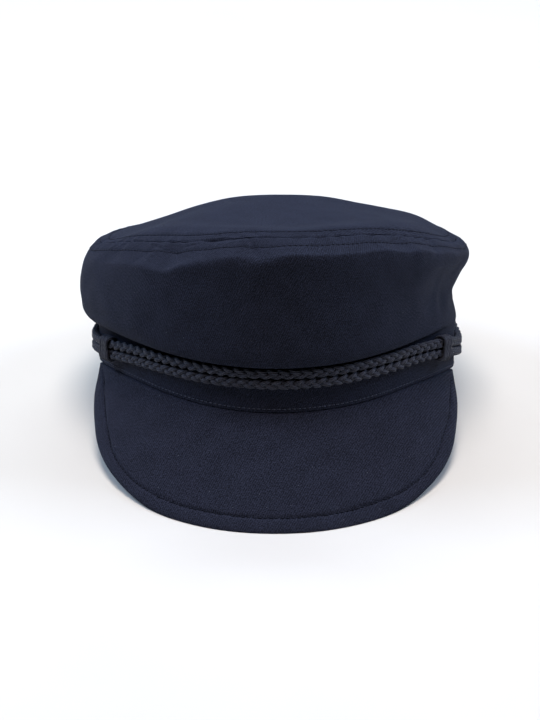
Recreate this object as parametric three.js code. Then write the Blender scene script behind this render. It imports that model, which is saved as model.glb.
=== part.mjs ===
// A breton fisherman cap in navy cotton twill: a soft crown of two panels over a flat band,
// a stiff cloth-covered peak, and a braided chin cord folded double over the front.
// Millimetres, +Z up, the peak towards -Y. Each piece is shaped with the band's lower edge
// near the plane z = 0, and the whole cap is then tipped back onto its peak and rear band.

import * as THREE from 'three';
import { mergeVertices } from 'three/addons/utils/BufferGeometryUtils.js';

// Driving sizes
const bandWidth = 180;
const bandLength = 194;
const bandHeight = 25;
const bandWall = 2;
const bandRise = 5;
const frontPoint = 0.14;
const crownHeight = 85.2;
const crownCentre = 86.3;
const crownBulge = 10;
const crownDroop = 3;
const crownWall = 1.5;
const peakLength = 62;
const peakPitch = 48;
const peakSidePitch = 42;
const peakFlare = 0.2;
const peakReach = 0.44;
const peakWall = 3;
const cordDiameter = 4.6;
const cordPitch = 4.95;
const slideLoopPlace = 0.345;
const slideLoopLength = 7;
const slideLoopWall = 1.2;
const buttonPlace = 0.6;
const buttonPostDiameter = 6;
const buttonDiameter = 12;
const buttonThickness = 2.4;
const clearance = 0.3;
const slideLoopClearance = 0.45;
const pressed = 1.2;

// How finely the surfaces are cut into facets
const columnsAround = 72;
const peakColumns = 44;
const cordSides = 8;
const cordRunSteps = 34;
const cordTurnSteps = 8;
const loopSides = 20;
const buttonSides = 16;

// Tables. Each has named columns, and its lengths are shares of the named sizes above.
function table(names, rows) {
  const keys = names.split(' ');
  return rows.map((row) => Object.fromEntries(keys.map((key, i) => [key, row[i]])));
}

// How far the band's lower edge lifts, in shares of bandRise, by half turns from the front
const riseTable = table('turn left right', [
  [0.00, 0.08, 0.08],
  [0.11, 0.26, 0.20],
  [0.19, 0.60, 0.48],
  [0.28, 0.98, 0.76],
  [0.36, 0.98, 0.66],
  [0.44, 0.60, 0.20],
  [0.50, 0.28, -0.06],
  [0.62, 0.00, -0.02],
  [0.75, 0.00, 0.00],
  [1.00, 0.00, 0.00],
]);

// Side panel: up is the share of the way from its lower fold to the top seam, the others
// are how far it stands out from the band, in shares of crownBulge
const sideTable = table('up front left back right', [
  [0.00, 0.42, 0.22, 0.30, 0.02],
  [0.03, 0.62, 0.46, 0.50, 0.06],
  [0.10, 0.76, 0.72, 0.70, 0.04],
  [0.25, 0.84, 0.90, 0.85, -0.08],
  [0.42, 0.90, 0.93, 0.95, -0.06],
  [0.60, 0.96, 0.86, 0.95, 0.26],
  [0.75, 1.02, 0.70, 0.85, 0.58],
  [0.86, 1.06, 0.48, 0.65, 0.60],
  [0.94, 0.94, 0.22, 0.40, 0.40],
  [1.00, 0.34, -0.10, 0.05, 0.00],
]);

// How far the lower fold of the side panel hangs over the band, in shares of crownDroop
const droopShares = { front: 0.4, left: 0.8, back: 0.6, right: 0.0 };

// Height of the top seam, in shares of crownHeight
const seamTable = table('turn left right', [
  [0.00, 1.000, 1.000],
  [0.17, 0.931, 0.978],
  [0.33, 0.843, 0.868],
  [0.42, 0.784, 0.804],
  [0.50, 0.760, 0.775],
  [0.67, 0.716, 0.730],
  [0.83, 0.686, 0.696],
  [1.00, 0.676, 0.676],
]);

// Top panel: out is the share of the way from its middle to the seam, the others are the
// shares of the drop from the middle's height to the seam's
const topTable = table('out front left back right', [
  [0.00, 0.00, 0.00, 0.00, 0.00],
  [0.30, 0.00, 0.11, 0.15, 0.09],
  [0.50, 0.05, 0.33, 0.38, 0.26],
  [0.68, 0.20, 0.60, 0.62, 0.41],
  [0.82, 0.45, 0.79, 0.80, 0.56],
  [0.93, 0.80, 0.93, 0.92, 0.82],
  [1.00, 1.00, 1.00, 1.00, 1.00],
]);

// Soft dents in the side panel: turn is in half turns from the front, right positive, with
// widths in the same shares, and depth is a share of crownBulge, inward positive. They fade
// out towards the lower fold, below dentFade of the way up.
const dentFade = 0.17;
const dentTable = table('turn up wide tall depth', [
  [-0.205, 0.93, 0.030, 0.07, 0.20],
  [-0.150, 0.84, 0.050, 0.10, -0.10],
  [-0.045, 0.93, 0.022, 0.08, 0.18],
  [0.020, 0.60, 0.120, 0.25, 0.08],
  [0.265, 0.72, 0.030, 0.30, -0.12],
  [0.340, 0.42, 0.055, 0.28, 0.24],
  [0.620, 0.55, 0.060, 0.30, 0.16],
  [-0.420, 0.62, 0.050, 0.30, -0.08],
  [-0.640, 0.50, 0.070, 0.35, 0.18],
  [0.930, 0.55, 0.080, 0.35, 0.20],
  [-0.860, 0.45, 0.050, 0.30, 0.14],
]);

// Length of the peak from the band to its edge, in shares of peakLength
const peakTable = table('turn length', [
  [0.000, 0.977],
  [0.100, 0.980],
  [0.180, 0.957],
  [0.228, 0.905],
  [0.270, 0.835],
  [0.310, 0.745],
  [0.350, 0.615],
  [0.373, 0.505],
  [0.402, 0.370],
  [0.424, 0.250],
  [0.440, 0.080],
]);

// Thickness of the peak from the band to its rounded edge, in shares of peakWall
const peakSection = table('out thick', [
  [1.00, 0.40],
  [0.97, 0.85],
  [0.90, 1.00],
  [0.60, 1.00],
  [0.30, 1.00],
  [0.10, 1.00],
  [0.00, 0.60],
]);

// Height of the middle of the two cord runs over the band's lower edge, in shares of bandHeight
const cordTable = table('turn left right', [
  [0.000, 0.66, 0.66],
  [0.110, 0.65, 0.66],
  [0.220, 0.60, 0.66],
  [0.345, 0.50, 0.63],
  [0.500, 0.51, 0.56],
  [0.600, 0.52, 0.54],
]);

// A smooth curve through one column of a table. It runs level where its two sides mirror each
// other, which is at the front, at the back and at the middle of the top.
function column(rows, from, to, at) {
  const last = rows.length - 1;
  const t = THREE.MathUtils.clamp(at, rows[0][from], rows[last][from]);
  const step = (i) => rows[i + 1][from] - rows[i][from];
  const slope = (i) => (rows[i + 1][to] - rows[i][to]) / step(i);
  const tangent = (i) => {
    const mirrored = rows[i].turn % 1 === 0 || (rows === topTable && i === 0);
    if (mirrored) return 0;
    if (i === 0) return slope(0);
    if (i === last) return slope(last - 1);
    return (slope(i - 1) + slope(i)) / 2;
  };
  let i = 0;
  while (i < last - 1 && t > rows[i + 1][from]) i += 1;
  const h = step(i);
  const s = (t - rows[i][from]) / h;
  return (1 + 2 * s) * (1 - s) ** 2 * rows[i][to]
    + s * (1 - s) ** 2 * h * tangent(i)
    + s * s * (3 - 2 * s) * rows[i + 1][to]
    + s * s * (s - 1) * h * tangent(i + 1);
}

// A turn is an angle round the cap in radians, 0 at the front and positive to the right
const halfTurns = (turn) => Math.abs(Math.atan2(Math.sin(turn), Math.cos(turn))) / Math.PI;

// Weights of the four sides at a turn
function sides(turn) {
  const c = Math.cos(turn);
  const s = Math.sin(turn);
  return {
    front: Math.max(c, 0) ** 2,
    left: Math.max(-s, 0) ** 2,
    back: Math.max(-c, 0) ** 2,
    right: Math.max(s, 0) ** 2,
  };
}

// A table's four side columns at once, or its left and right columns
function bySide(value, turn) {
  const weights = sides(turn);
  return Object.keys(weights).reduce((sum, name) => sum + weights[name] * value(name), 0);
}

function leftRight(rows, turn) {
  const blend = 0.5;
  const right = THREE.MathUtils.smoothstep(Math.sin(turn), -blend, blend);
  const at = halfTurns(turn);
  return right * column(rows, 'turn', 'right', at) + (1 - right) * column(rows, 'turn', 'left', at);
}

// A point of the band's oval, moved out from it, at a height
function oval(turn, out, height) {
  const c = Math.cos(turn);
  const s = Math.sin(turn);
  const narrowing = c > 0 ? 1 - frontPoint * s * s : 1;
  return new THREE.Vector3(
    (bandWidth / 2 + out) * s,
    -(bandLength / 2 + out) * c * narrowing,
    height,
  );
}

function alongOval(turn) {
  const small = 0.02;
  return oval(turn + small, 0, 0).sub(oval(turn - small, 0, 0)).normalize();
}

const up = new THREE.Vector3(0, 0, 1);
const outOfOval = (turn) => alongOval(turn).cross(up).normalize();

const bandFoot = (turn) => bandRise * leftRight(riseTable, turn);
const bandTop = (turn) => bandFoot(turn) + bandHeight;
const seamHeight = (turn) => crownHeight * leftRight(seamTable, turn);
const foldHeight = (turn) => bandTop(turn) - crownDroop * bySide((name) => droopShares[name], turn);

// Grids of points are rows of columns. A closed grid's last column joins its first.
const aroundTurns = Array.from(
  { length: columnsAround },
  (_, i) => -Math.PI + (2 * Math.PI * i) / columnsAround,
);
const peakTurns = Array.from(
  { length: peakColumns + 1 },
  (_, i) => peakReach * Math.PI * ((2 * i) / peakColumns - 1),
);

// The way down the peak from the band, which is a little less steep at its sides
function downPeak(turn) {
  const toSide = Math.sin(turn) ** 2;
  const pitch = THREE.MathUtils.degToRad(THREE.MathUtils.lerp(peakPitch, peakSidePitch, toSide));
  return new THREE.Vector3(peakFlare * Math.sin(turn), -Math.cos(pitch), -Math.sin(pitch));
}

// A point of the peak's upper face, at a share of its length from the band
function peakPoint(turn, share) {
  const length = peakLength * column(peakTable, 'turn', 'length', halfTurns(turn)) * share;
  return oval(turn, clearance, bandFoot(turn) - clearance).addScaledVector(downPeak(turn), length);
}

// The cap's slope on the floor: it stands on the band's rear and the peak's lowest edge
const peakLip = -peakWall * peakSection[0].thick * downPeak(0).y;
const restTilt = Math.max(...peakTurns.map((turn) => {
  const edge = peakPoint(turn, 1);
  return Math.atan2(peakLip - edge.z, bandLength / 2 - edge.y);
}));
const floorNormal = new THREE.Vector3(0, -Math.sin(restTilt), Math.cos(restTilt));
const floorPoint = new THREE.Vector3(0, bandLength / 2, 0).addScaledVector(floorNormal, pressed);

// Cloth that would reach below the floor is pressed flat on it
function pressFlat(point) {
  const depth = floorNormal.dot(point.clone().sub(floorPoint));
  return depth < 0 ? point.clone().addScaledVector(floorNormal, -depth) : point;
}

function normals(grid, closed) {
  const rows = grid.length;
  const columns = grid[0].length;
  return grid.map((row, i) => row.map((_, j) => {
    const above = grid[Math.min(i + 1, rows - 1)][j];
    const below = grid[Math.max(i - 1, 0)][j];
    const next = closed ? row[(j + 1) % columns] : row[Math.min(j + 1, columns - 1)];
    const last = closed ? row[(j + columns - 1) % columns] : row[Math.max(j - 1, 0)];
    const normal = next.clone().sub(last).cross(above.clone().sub(below));
    return normal.lengthSq() > 0 ? normal.normalize() : up.clone();
  }));
}

function inward(grid, directions, wall) {
  return grid.map((row, i) => row.map((point, j) => (
    point.clone().addScaledVector(directions[i][j], -wall(i)))));
}

// The closed solid between an outer and an inner grid
function between(outer, inner, { closed, shutEnd = false }) {
  const triangles = [];
  const triangle = (a, b, c) => {
    const flat = a.distanceTo(b) * b.distanceTo(c) * c.distanceTo(a) === 0;
    if (!flat) triangles.push(a, b, c);
  };
  const quad = (a, b, c, d) => {
    triangle(a, b, c);
    triangle(a, c, d);
  };
  const rows = outer.length;
  const columns = outer[0].length;
  const spans = closed ? columns : columns - 1;
  for (let j = 0; j < spans; j += 1) {
    const k = (j + 1) % columns;
    for (let i = 0; i < rows - 1; i += 1) {
      quad(outer[i][j], outer[i][k], outer[i + 1][k], outer[i + 1][j]);
      quad(inner[i][j], inner[i + 1][j], inner[i + 1][k], inner[i][k]);
    }
    quad(outer[0][j], inner[0][j], inner[0][k], outer[0][k]);
    if (!shutEnd) {
      const end = rows - 1;
      quad(outer[end][j], outer[end][k], inner[end][k], inner[end][j]);
    }
  }
  if (!closed) {
    const edge = columns - 1;
    for (let i = 0; i < rows - 1; i += 1) {
      quad(outer[i][0], outer[i + 1][0], inner[i + 1][0], inner[i][0]);
      quad(outer[i][edge], inner[i][edge], inner[i + 1][edge], outer[i + 1][edge]);
    }
  }
  return mergeVertices(new THREE.BufferGeometry().setFromPoints(triangles));
}

const twill = { color: 0x2a3046, roughness: 0.88, metalness: 0 };
const braid = { color: 0x2e3447, roughness: 0.7, metalness: 0 };
const hardTrim = { color: 0x1a1d28, roughness: 0.5, metalness: 0 };

function piece(name, geometry, finish) {
  const mesh = new THREE.Mesh(geometry, new THREE.MeshStandardMaterial(finish));
  mesh.name = name;
  return mesh;
}

// Band: a flat strip of cloth round the head opening
function band() {
  const heights = [0, 0.5, 1];
  const wallGrid = (out) => heights.map((share) => aroundTurns.map((turn) => (
    pressFlat(oval(turn, out, bandFoot(turn) + share * bandHeight)))));
  return piece('band', between(wallGrid(0), wallGrid(-bandWall), { closed: true }), twill);
}

// Crown: one surface from the band over the fold and the side panel to the seam, and on over
// the top panel to its middle, cut in two at the seam
function sideOut(turn, at) {
  const plain = bySide((name) => column(sideTable, 'up', name, at), turn);
  const dents = dentTable.reduce((sum, dent) => {
    const across = turn / Math.PI - dent.turn;
    const wrapped = across - 2 * Math.round(across / 2);
    const far = (wrapped / dent.wide) ** 2 + ((at - dent.up) / dent.tall) ** 2;
    return sum + dent.depth * Math.exp(-far);
  }, 0);
  return crownBulge * (plain - dents * Math.min(1, at / dentFade));
}

function sidePoint(turn, at) {
  const low = foldHeight(turn);
  return oval(turn, sideOut(turn, at), low + at * (seamHeight(turn) - low));
}

function topPoint(turn, share) {
  const seam = sidePoint(turn, 1);
  const drop = bySide((name) => column(topTable, 'out', name, share), turn);
  return new THREE.Vector3(seam.x * share, seam.y * share, crownCentre + (seam.z - crownCentre) * drop);
}

function crown() {
  // The fold's hidden edge lies over the band's wall, and the slope of the top panel takes
  // a little more than the plain gap at the seam
  const lapShare = 0.8;
  const slopeShare = 1.3;
  const lapStart = -lapShare * bandWall;
  const lap = (share) => aroundTurns.map((turn) => {
    const out = lapStart + share * (sideOut(turn, 0) - lapStart);
    return oval(turn, out, bandTop(turn) + clearance);
  });
  const sideRows = [0, 0.03, 0.07, 0.14, 0.25, 0.38, 0.5, 0.62, 0.73, 0.82, 0.89, 0.95, 1];
  const seamGap = (2 * slopeShare * clearance) / Math.min(bandWidth, bandLength);
  const topRows = [1 - seamGap, 0.95, 0.86, 0.74, 0.6, 0.42, 0.22, 0];
  const outer = [
    lap(0),
    lap(0.5),
    ...sideRows.map((at) => aroundTurns.map((turn) => sidePoint(turn, at))),
    ...topRows.map((share) => aroundTurns.map((turn) => topPoint(turn, share))),
  ];
  const cut = outer.length - topRows.length;
  const directions = normals(outer, true);
  const atSeam = directions[cut].map((one, j) => one.clone().add(directions[cut - 1][j]).normalize());
  directions[cut - 1] = atSeam;
  directions[cut] = atSeam;
  const inner = inward(outer, directions, () => crownWall);
  const side = between(outer.slice(0, cut), inner.slice(0, cut), { closed: true });
  const top = between(outer.slice(cut), inner.slice(cut), { closed: true, shutEnd: true });
  return [piece('crown_side', side, twill), piece('crown_top', top, twill)];
}

// Peak: one curved plate that runs down and forward from the band's lower edge
function peak() {
  const outer = peakSection.map(({ out }) => peakTurns.map((turn) => peakPoint(turn, out)));
  const inner = inward(outer, normals(outer, false), (i) => peakWall * peakSection[i].thick);
  const root = peakSection.length - 1;
  inner[root] = inner[root].map((point, j) => {
    const down = downPeak(peakTurns[j]);
    return point.addScaledVector(down, (outer[root][j].z - point.z) / down.z);
  });
  const flat = (grid) => grid.map((row) => row.map(pressFlat));
  return piece('peak', between(flat(outer), flat(inner), { closed: false }), twill);
}

// Chin cord: one loop of cord round both side buttons, whose two runs cross the front of the
// band. Its ends meet behind the left button.
const cordRadius = cordDiameter / 2;
const loopInside = cordRadius + slideLoopClearance;
const loopLift = slideLoopWall + slideLoopClearance;
const turnRadius = buttonPostDiameter / 2 + clearance + cordRadius;
const loopTurn = slideLoopPlace * Math.PI;
const buttonTurn = buttonPlace * Math.PI;
const cordOut = (turn) => {
  const liftSpread = 0.16;
  const fromLoop = (Math.abs(turn) - loopTurn) / liftSpread;
  return cordRadius + clearance + loopLift * Math.exp(-fromLoop * fromLoop);
};
const cordMiddle = (turn) => bandFoot(turn) + bandHeight * leftRight(cordTable, turn);

function runSpread(turn) {
  const beyond = (Math.abs(turn) - loopTurn) / (buttonTurn - loopTurn);
  const opened = THREE.MathUtils.clamp(beyond, 0, 1) ** 2;
  return cordPitch + (2 * turnRadius - cordPitch) * opened;
}

class CordRoute extends THREE.Curve {
  // Stations are spaced by the route's own steps, so the tight turns get as many as they need
  getUtoTmapping(share) {
    return share;
  }

  getPoint(share) {
    const steps = 2 * (cordRunSteps + cordTurnSteps);
    const endGap = clearance / (Math.PI * turnRadius);
    const half = cordTurnSteps / 2;
    const at = endGap * half + share * (steps - 2 * endGap * half);
    if (at < half) return this.aroundButton(-1, 0.5 * (at / half));
    if (at < half + cordRunSteps) return this.run(1, (at - half) / cordRunSteps);
    if (at < half + cordRunSteps + cordTurnSteps) {
      return this.aroundButton(1, (at - half - cordRunSteps) / cordTurnSteps - 0.5);
    }
    if (at < steps - half) {
      return this.run(-1, 1 - (at - half - cordRunSteps - cordTurnSteps) / cordRunSteps);
    }
    return this.aroundButton(-1, 0.5 * ((at - steps) / half));
  }

  run(level, share) {
    const turn = buttonTurn * (2 * share - 1);
    return oval(turn, cordOut(turn), cordMiddle(turn) + (level * runSpread(turn)) / 2);
  }

  aroundButton(hand, share) {
    const angle = share * Math.PI;
    const level = -hand * Math.sin(angle);
    const perRadian = (bandWidth + bandLength) / 4 + cordOut(buttonTurn);
    const turn = hand * (buttonTurn + (turnRadius * Math.cos(angle)) / perRadian);
    return oval(turn, cordOut(turn), cordMiddle(hand * buttonTurn) + turnRadius * level);
  }
}

function chinCord() {
  const section = new THREE.Shape();
  for (let i = 0; i < cordSides; i += 1) {
    const angle = (2 * Math.PI * i) / cordSides;
    const x = cordRadius * Math.cos(angle);
    const y = cordRadius * Math.sin(angle);
    if (i === 0) section.moveTo(x, y);
    else section.lineTo(x, y);
  }
  section.closePath();
  const geometry = new THREE.ExtrudeGeometry(section, {
    steps: 2 * (cordRunSteps + cordTurnSteps),
    bevelEnabled: false,
    extrudePath: new CordRoute(),
  });
  return piece('chin_cord', geometry, braid);
}

// Slide loop: an oval sleeve round both runs of the cord, fuller at its middle. Its table
// holds shares of its length and of its wall.
const loopTable = table('along wall', [
  [-0.50, 0.45],
  [-0.36, 1.00],
  [0.00, 1.10],
  [0.36, 1.00],
  [0.50, 0.45],
]);

function slideLoop(name, hand) {
  const turn = hand * loopTurn;
  const centre = oval(turn, cordOut(turn), cordMiddle(turn));
  const ahead = alongOval(turn);
  const small = 0.05;
  ahead.z = (cordMiddle(turn + small) - cordMiddle(turn - small))
    / oval(turn + small, 0, 0).distanceTo(oval(turn - small, 0, 0));
  ahead.normalize();
  const out = outOfOval(turn);
  const across = out.clone().cross(ahead).normalize();
  const ring = (wallShare) => loopTable.map((place) => (
    Array.from({ length: loopSides }, (_, i) => {
      const angle = (-2 * Math.PI * (i + 0.5)) / loopSides;
      const radius = loopInside + slideLoopWall * wallShare(place);
      const sideways = Math.sign(Math.sin(angle)) * (cordPitch / 2) + radius * Math.sin(angle);
      return centre.clone()
        .addScaledVector(ahead, place.along * slideLoopLength)
        .addScaledVector(out, radius * Math.cos(angle))
        .addScaledVector(across, sideways);
    })));
  return piece(name, between(ring((place) => place.wall), ring(() => 0), { closed: true }), braid);
}

// Side button: a post that the cord turns round, and a domed head over the cord
const headTable = table('out up', [
  [1.0, 0.0],
  [1.0, 0.4],
  [0.8, 0.8],
  [0.4, 1.0],
  [0.0, 1.0],
]);

function sideButton(name, hand) {
  const turn = hand * buttonTurn;
  const post = buttonPostDiameter / 2;
  const head = buttonDiameter / 2;
  const under = cordRadius + cordOut(buttonTurn);
  const points = [
    new THREE.Vector2(0, 0),
    new THREE.Vector2(post, 0),
    new THREE.Vector2(post, under),
    ...headTable.map((row) => new THREE.Vector2(head * row.out, under + buttonThickness * row.up)),
  ];
  const mesh = piece(name, new THREE.LatheGeometry(points, buttonSides), hardTrim);
  mesh.position.copy(oval(turn, clearance, cordMiddle(turn)));
  mesh.quaternion.setFromUnitVectors(new THREE.Vector3(0, 1, 0), outOfOval(turn));
  return mesh;
}

const cap = new THREE.Group();
cap.add(
  band(),
  ...crown(),
  peak(),
  chinCord(),
  slideLoop('slide_loop_left', -1),
  slideLoop('slide_loop_right', 1),
  sideButton('side_button_left', -1),
  sideButton('side_button_right', 1),
);

// The cap is tipped back by its slope, and stands on the floor with the middle of its plan at 0
cap.rotation.x = -restTilt;
const whole = new THREE.Group();
whole.add(cap);
const extent = new THREE.Box3().setFromObject(whole, true);
const middle = extent.getCenter(new THREE.Vector3());
cap.position.set(-middle.x, -middle.y, -extent.min.z);

export default whole;
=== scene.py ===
import math

import bmesh
import bpy
import numpy as np
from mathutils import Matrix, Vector


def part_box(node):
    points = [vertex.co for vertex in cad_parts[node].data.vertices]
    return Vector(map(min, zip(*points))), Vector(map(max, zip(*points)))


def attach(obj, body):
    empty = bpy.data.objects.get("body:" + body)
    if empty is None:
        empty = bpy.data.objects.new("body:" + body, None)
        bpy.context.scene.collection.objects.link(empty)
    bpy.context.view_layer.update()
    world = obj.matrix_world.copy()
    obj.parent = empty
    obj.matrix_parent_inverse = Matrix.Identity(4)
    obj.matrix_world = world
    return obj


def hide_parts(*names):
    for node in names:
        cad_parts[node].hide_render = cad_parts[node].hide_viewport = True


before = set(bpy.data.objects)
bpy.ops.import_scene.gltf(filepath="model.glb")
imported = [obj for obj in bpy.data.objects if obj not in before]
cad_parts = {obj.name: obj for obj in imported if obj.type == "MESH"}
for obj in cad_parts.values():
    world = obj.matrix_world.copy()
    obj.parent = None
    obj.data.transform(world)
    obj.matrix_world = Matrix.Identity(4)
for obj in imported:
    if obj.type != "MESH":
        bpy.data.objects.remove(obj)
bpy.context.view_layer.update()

MM = 0.001  # the shapes are worked out in mm, the scene is in metres

# ---------------------------------------------------------------- camera
CAMERA_TARGET = Vector((0.0016, 0.0060, 0.0538))
CAMERA_DISTANCE = 1.2
CAMERA_RISE = math.radians(24.5)
CAMERA_SWING = math.radians(0.8)
CAMERA_LENS = 120
CAMERA_SENSOR = 36
CAMERA_SHIFT = (-0.0092, -0.0743)


def add_camera():
    data = bpy.data.cameras.new("camera")
    data.lens = CAMERA_LENS
    data.sensor_width = CAMERA_SENSOR
    data.shift_x = CAMERA_SHIFT[0]
    data.shift_y = CAMERA_SHIFT[1]
    data.clip_start = 0.01
    camera = bpy.data.objects.new("camera", data)
    bpy.context.scene.collection.objects.link(camera)
    away = Vector((
        math.sin(CAMERA_SWING) * math.cos(CAMERA_RISE),
        -math.cos(CAMERA_SWING) * math.cos(CAMERA_RISE),
        math.sin(CAMERA_RISE),
    ))
    camera.location = CAMERA_TARGET + away * CAMERA_DISTANCE
    camera.rotation_euler = (-away).to_track_quat("-Z", "Y").to_euler()
    bpy.context.scene.camera = camera


add_camera()

# ---------------------------------------------------------------- sizes of the solids, in mm
BAND_WIDTH = 180.0
BAND_LENGTH = 194.0
BAND_HEIGHT = 25.0
BAND_WALL = 2.0
BAND_RISE = 5.0
FRONT_POINT = 0.14
CROWN_HEIGHT = 85.2
CROWN_CENTRE = 86.3
CROWN_BULGE = 10.0
CROWN_DROOP = 3.0
CROWN_WALL = 1.5
PEAK_LENGTH = 62.0
PEAK_PITCH = 48.0
PEAK_SIDE_PITCH = 42.0
PEAK_FLARE = 0.2
PEAK_REACH = 0.44
PEAK_WALL = 3.0
CORD_RADIUS = 2.3
CORD_PITCH = 4.95
LOOP_PLACE = 0.345
BUTTON_PLACE = 0.6
BUTTON_POST = 3.0
BUTTON_RADIUS = 6.0
BUTTON_THICKNESS = 2.4
CLEARANCE = 0.3
PRESSED = 1.2

# Tables of the solids. turn is in half turns from the front.
RISE = np.array([  # turn, left, right
    (0.00, 0.08, 0.08),
    (0.11, 0.26, 0.20),
    (0.19, 0.60, 0.48),
    (0.28, 0.98, 0.76),
    (0.36, 0.98, 0.66),
    (0.44, 0.60, 0.20),
    (0.50, 0.28, -0.06),
    (0.62, 0.00, -0.02),
    (0.75, 0.00, 0.00),
    (1.00, 0.00, 0.00),
])
SIDE = np.array([  # up, front, left, back, right
    (0.00, 0.42, 0.22, 0.30, 0.02),
    (0.03, 0.62, 0.46, 0.50, 0.06),
    (0.10, 0.76, 0.72, 0.70, 0.04),
    (0.25, 0.84, 0.90, 0.85, -0.08),
    (0.42, 0.90, 0.93, 0.95, -0.06),
    (0.60, 0.96, 0.86, 0.95, 0.26),
    (0.75, 1.02, 0.70, 0.85, 0.58),
    (0.86, 1.06, 0.48, 0.65, 0.60),
    (0.94, 0.94, 0.22, 0.40, 0.40),
    (1.00, 0.34, -0.10, 0.05, 0.00),
])
DROOP_SHARES = (0.4, 0.8, 0.6, 0.0)  # front, left, back, right
SEAM = np.array([  # turn, left, right
    (0.00, 1.000, 1.000),
    (0.17, 0.931, 0.978),
    (0.33, 0.843, 0.868),
    (0.42, 0.784, 0.804),
    (0.50, 0.760, 0.775),
    (0.67, 0.716, 0.730),
    (0.83, 0.686, 0.696),
    (1.00, 0.676, 0.676),
])
TOP = np.array([  # out, front, left, back, right
    (0.00, 0.00, 0.00, 0.00, 0.00),
    (0.30, 0.00, 0.11, 0.15, 0.09),
    (0.50, 0.05, 0.33, 0.38, 0.26),
    (0.68, 0.20, 0.60, 0.62, 0.41),
    (0.82, 0.45, 0.79, 0.80, 0.56),
    (0.93, 0.80, 0.93, 0.92, 0.82),
    (1.00, 1.00, 1.00, 1.00, 1.00),
])
DENT_FADE = 0.17
DENTS = (  # turn, up, wide, tall, depth
    (-0.205, 0.93, 0.030, 0.07, 0.20),
    (-0.150, 0.84, 0.050, 0.10, -0.10),
    (-0.045, 0.93, 0.022, 0.08, 0.18),
    (0.020, 0.60, 0.120, 0.25, 0.08),
    (0.265, 0.72, 0.030, 0.30, -0.12),
    (0.340, 0.42, 0.055, 0.28, 0.24),
    (0.620, 0.55, 0.060, 0.30, 0.16),
    (-0.420, 0.62, 0.050, 0.30, -0.08),
    (-0.640, 0.50, 0.070, 0.35, 0.18),
    (0.930, 0.55, 0.080, 0.35, 0.20),
    (-0.860, 0.45, 0.050, 0.30, 0.14),
)
PEAK = np.array([  # turn, length
    (0.000, 0.977),
    (0.100, 0.980),
    (0.180, 0.957),
    (0.228, 0.905),
    (0.270, 0.835),
    (0.310, 0.745),
    (0.350, 0.615),
    (0.373, 0.505),
    (0.402, 0.370),
    (0.424, 0.250),
    (0.440, 0.080),
])
CORD = np.array([  # turn, left, right
    (0.000, 0.66, 0.66),
    (0.110, 0.65, 0.66),
    (0.220, 0.60, 0.66),
    (0.345, 0.50, 0.63),
    (0.500, 0.51, 0.56),
    (0.600, 0.52, 0.54),
])
PEAK_STITCHES = np.array([  # turn, left, right, in shares of the peak's length at its middle
    (0.000, 0.841, 0.841),
    (0.090, 0.841, 0.837),
    (0.165, 0.830, 0.817),
    (0.210, 0.798, 0.795),
    (0.246, 0.750, 0.745),
    (0.296, 0.610, 0.615),
    (0.315, 0.500, 0.520),
    (0.337, 0.375, 0.430),
    (0.358, 0.250, 0.345),
    (0.382, 0.110, 0.205),
    (0.404, 0.000, 0.060),
])
LOOP_TURN = LOOP_PLACE * np.pi
BUTTON_TURN = BUTTON_PLACE * np.pi
TURN_RADIUS = BUTTON_POST + CLEARANCE + CORD_RADIUS
BUTTON_DISH = (  # radius, height over the underside of the head
    (5.10, 1.05),
    (4.75, 0.95),
    (4.40, 1.05),
    (3.60, 1.55),
    (2.60, 2.00),
    (1.50, 2.28),
    (0.70, 2.37),
    (0.00, BUTTON_THICKNESS),
)

# ---------------------------------------------------------------- what the cloth adds, in mm
COLUMNS = 540
AROUND = np.linspace(-np.pi, np.pi, COLUMNS + 1)
CAP_RADIUS = 95.0  # mean, for the count of stitches round the seam
HALF_GIRTH = 290.0  # length of half a turn, for creases and the nip
PANEL_HEIGHT = 56.0  # mean, for creases
NEAR_SEAM = np.arange(0, 10.0, 0.36)  # distances of the fine rows by the seam
LAP_ROWS = 12  # rows of the side panel up to the end of its fold
SIDE_STITCH_FROM_SEAM = 6.0
TOP_STITCH_FROM_SEAM = 4.6
STITCH_PITCH = 2.6
STITCH_STEP = 0.2
CHANNEL_WIDTH = 0.55
SIDE_CHANNEL_DEPTH = 0.26
TOP_CHANNEL_DEPTH = 0.42
SEAM_ROLL_DEPTH = 0.55
SEAM_ROLL_WIDTH = 0.6
SEAM_GAPE_AT = -0.110
SEAM_GAPE_WIDTH = 0.017
NIP_AT = -0.032
NIP_FROM_SEAM = 2.5
NIP_DEPTH = 0.75
SEAM_LIFT = 0.5
SEAM_DRAWN_IN = 4.9
TOP_PUFF = 2.1
TOP_WAVE_HEIGHT = 0.20
BAND_EDGE_RADIUS = 1.0
BAND_STITCH_HEIGHT = 1.9
BAND_STITCH_PITCH = 2.4
BAND_STITCH_LENGTH = 1.7
BAND_STITCH_DEPTH = 0.14
PEAK_COLUMNS = 301
PEAK_PLAIN_REACH = 0.78
PEAK_STITCH_REACH = 0.404
PEAK_STITCH_DEPTH = 0.50
PEAK_GROOVE_DEPTH = 0.65
PEAK_GROOVE_WIDTH = 0.60
PLAIT_OUT = 2.05
PLAIT_STEP = 0.62
PLAIT_PERIODS = 47
PLAIT_SWAY = 1.28
PLAIT_RISE = 1.0
STRAND_HALF_WIDTH = 1.12
STRAND_HALF_DEPTH = 0.86
LOOP_OUT = 1.75
KNOT_PLACE = 0.339
KNOT_LENGTH = 10.5
KNOT_STRANDS = 7
KNOT_WAIST = 0.20
KNOT_LEAN = 0.14
TUBE_SIDES = 12

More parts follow.
